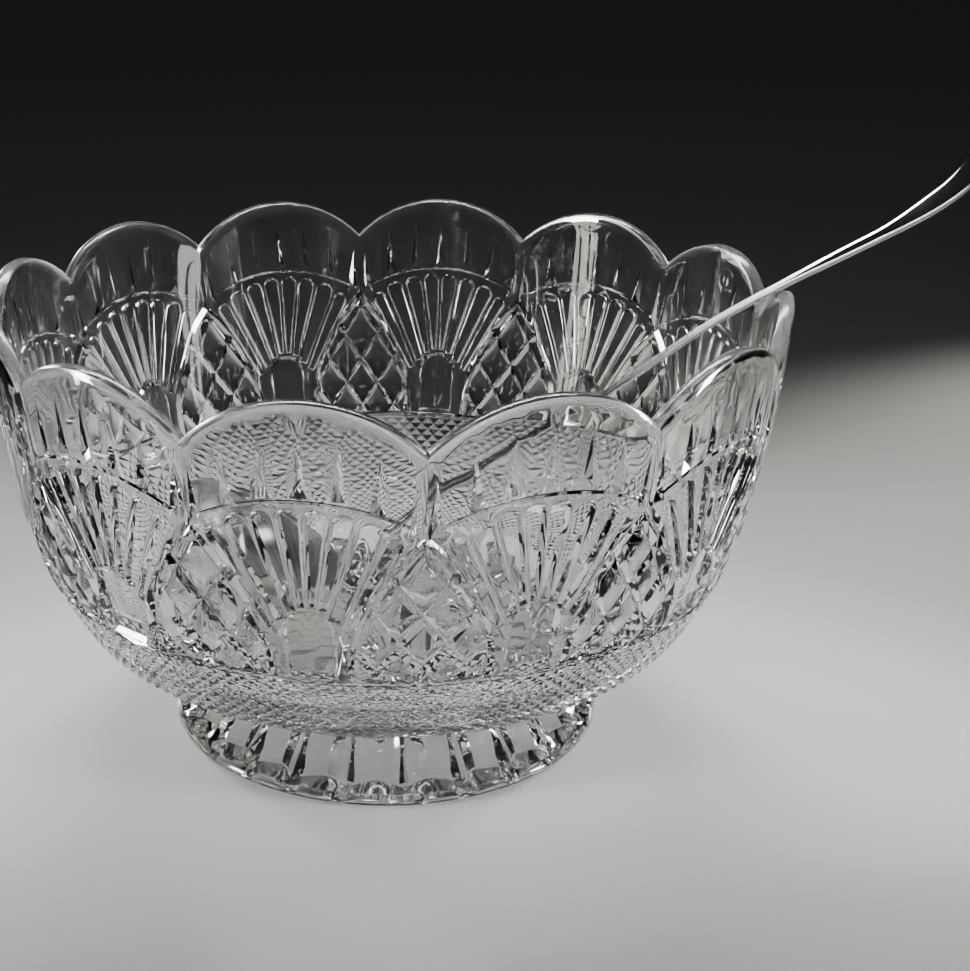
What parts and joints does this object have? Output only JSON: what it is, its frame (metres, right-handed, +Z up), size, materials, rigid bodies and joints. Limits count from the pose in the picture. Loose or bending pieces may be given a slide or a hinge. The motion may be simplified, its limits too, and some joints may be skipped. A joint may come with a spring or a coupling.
{
  "type": "punch bowl with ladle",
  "caption": "Deep cut-crystal punch bowl with a scalloped rim and a short fluted foot, and a steel punch ladle lying in it across a notch of the rim.",
  "frame": {"origin": "centre of the foot's standing plane, on the bowl's axis", "axes": "+Z up along the bowl's axis; +X from the axis towards the rim notch that carries the ladle's handle"},
  "size_m": [0.3864, 0.3048, 0.2277],
  "materials": {
    "crystal": "clear cut and fire-polished",
    "polished_steel": "mirror polished"
  },
  "bodies": {
    "bowl": {"crystal_bowl": "crystal"},
    "ladle": {"ladle_cup": "polished_steel", "ladle_handle": "polished_steel"}
  },
  "joints": [
    {"name": "ladle_lift", "type": "slide", "parent": "bowl", "child": "ladle", "axis": [0, 0, 1], "range_m": [0, 0.16]}
  ]
}
